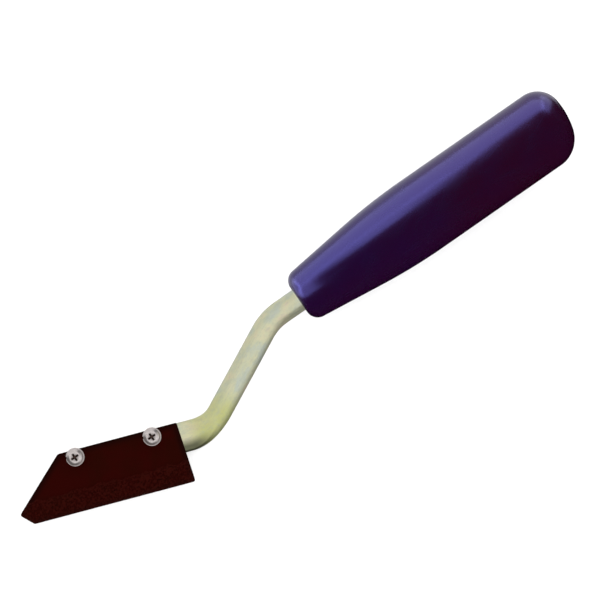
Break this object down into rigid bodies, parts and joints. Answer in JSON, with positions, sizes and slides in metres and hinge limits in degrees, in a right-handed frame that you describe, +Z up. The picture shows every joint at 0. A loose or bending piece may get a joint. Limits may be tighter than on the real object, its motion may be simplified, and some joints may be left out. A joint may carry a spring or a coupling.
{
  "type": "grout remover",
  "caption": "Hand grout remover: a tapered round plastic handle, a bent round steel shank and a trapezoid carbide-grit blade held in open slots by cross-recess screws.",
  "frame": {"origin": "on the surface that the tool lies on, under the centre of its bounding box", "axes": "+X along the tool towards the handle's butt, +Z up off the surface, and the blade's working edge towards -Y; the tool leans 10.8 degrees on the outside of the shank's lower bend, as it comes to rest on its side"},
  "size_m": [0.2254, 0.0436, 0.0303],
  "materials": {
    "handle": "gloss",
    "shank": "satin",
    "blade": "satin",
    "carbide_grit": "matte",
    "fasteners": "satin"
  },
  "bodies": {
    "tool": {"handle": "handle", "shank": "shank"},
    "blade": {"blade": "blade", "carbide_grit": "carbide_grit"},
    "front_washer": {"front_lock_washer": "fasteners"},
    "front_screw": {"front_blade_screw": "fasteners"},
    "rear_washer": {"rear_lock_washer": "fasteners"},
    "rear_screw": {"rear_blade_screw": "fasteners"}
  },
  "joints": [
    {"name": "blade_change", "type": "slide", "parent": "tool", "child": "blade", "axis": [-0.3286, -0.9256, -0.1879], "range_m": [0, 0.005]},
    {"name": "front_screw_travel", "type": "slide", "parent": "tool", "child": "front_washer", "axis": [-0.0705, -0.1743, 0.9822], "range_m": [0, 0.0025]},
    {"name": "front_screw_turn", "type": "hinge", "parent": "front_washer", "child": "front_screw", "pos_m": [-0.08681, 0.00728, 0.00859], "axis": [-0.0705, -0.1743, 0.9822], "range_deg": [0, 1800]},
    {"name": "rear_screw_travel", "type": "slide", "parent": "tool", "child": "rear_washer", "axis": [-0.0705, -0.1743, 0.9822], "range_m": [0, 0.0025]},
    {"name": "rear_screw_turn", "type": "hinge", "parent": "rear_washer", "child": "rear_screw", "pos_m": [-0.06195, -0.00159, 0.0088], "axis": [-0.0705, -0.1743, 0.9822], "range_deg": [0, 1800]}
  ],
  "couplings": [
    {"joint": "front_screw_turn", "follows": "front_screw_travel", "rad_per_m": 12566},
    {"joint": "rear_screw_turn", "follows": "rear_screw_travel", "rad_per_m": 12566}
  ]
}
